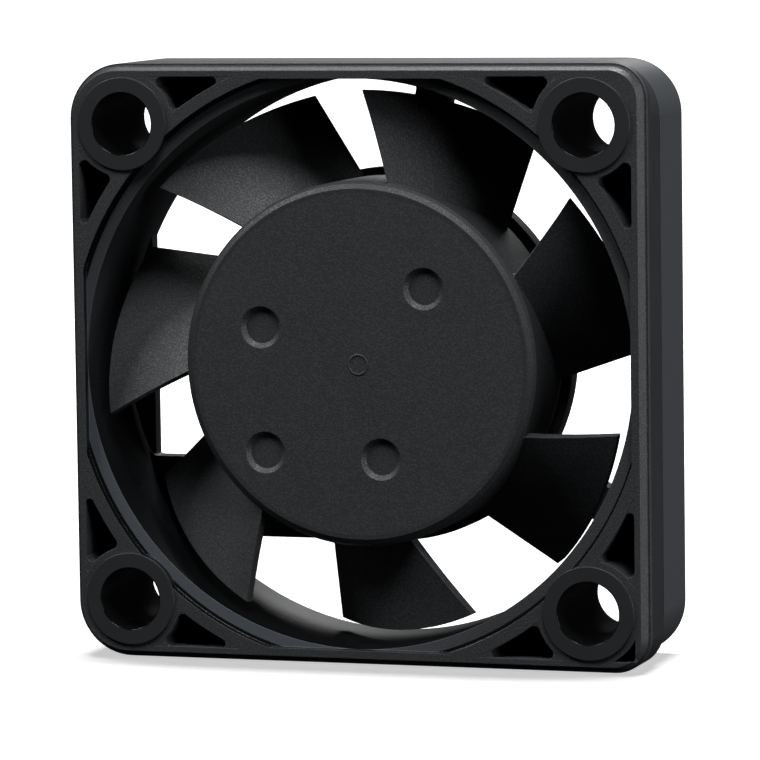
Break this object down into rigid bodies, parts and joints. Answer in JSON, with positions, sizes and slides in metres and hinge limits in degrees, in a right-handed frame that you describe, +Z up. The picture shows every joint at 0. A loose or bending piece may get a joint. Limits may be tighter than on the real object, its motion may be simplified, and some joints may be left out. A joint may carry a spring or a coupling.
{
  "type": "axial cooling fan",
  "caption": "Square axial fan with a stepped inlet, swept blades on a hub motor, and struts across its outlet.",
  "frame": {"origin": "on the fan's axis, in the plane of the rear mounting face", "axes": "+Y along the fan's axis towards the rear, where the air leaves; +X right seen from the inlet; +Z up"},
  "size_m": [0.04, 0.01, 0.04],
  "materials": {
    "frame_plastic": "fine stippled moulding, smoother on the bosses and sides",
    "impeller_plastic": "fine stippled moulding",
    "brass": "turned",
    "sintered_bronze": "porous, oil filled",
    "felt": "oil soaked felt",
    "cap_nylon": "natural nylon",
    "plug_rubber": "soft moulded rubber",
    "lamination_steel": "stacked sheet",
    "insulator_nylon": "moulded nylon",
    "winding_copper": "enamelled copper wire",
    "tinned_metal": "tinned",
    "board_laminate": "green solder resist",
    "chip_epoxy": "moulded epoxy",
    "capacitor_ceramic": "fired ceramic",
    "yoke_steel": "drawn and plated sheet",
    "magnet": "bonded ferrite",
    "shaft_steel": "ground"
  },
  "bodies": {
    "frame": {"frame_housing": "frame_plastic", "bearing_tube": "brass", "sleeve_bearing": "sintered_bronze", "felt_ring": "felt", "oil_cap": "cap_nylon", "tube_plug": "plug_rubber", "stator_core": "lamination_steel", "rear_insulator": "insulator_nylon", "front_insulator": "insulator_nylon", "winding_1": "winding_copper", "winding_2": "winding_copper", "winding_3": "winding_copper", "winding_4": "winding_copper", "terminal_pins": "tinned_metal", "circuit_board": "board_laminate", "driver_chip": "chip_epoxy", "filter_capacitor": "capacitor_ceramic", "protection_diode": "chip_epoxy", "lead_pads": "tinned_metal"},
    "rotor": {"impeller": "impeller_plastic", "shaft_bush": "brass", "rotor_yoke": "yoke_steel", "magnet_ring": "magnet", "shaft": "shaft_steel", "retaining_clip": "cap_nylon", "thrust_washer": "cap_nylon", "oil_slinger": "cap_nylon"}
  },
  "joints": [
    {"name": "rotor_spin", "type": "hinge", "parent": "frame", "child": "rotor", "pos_m": [0, -0.005, 0], "axis": [0, -1, 0], "continuous": true}
  ]
}
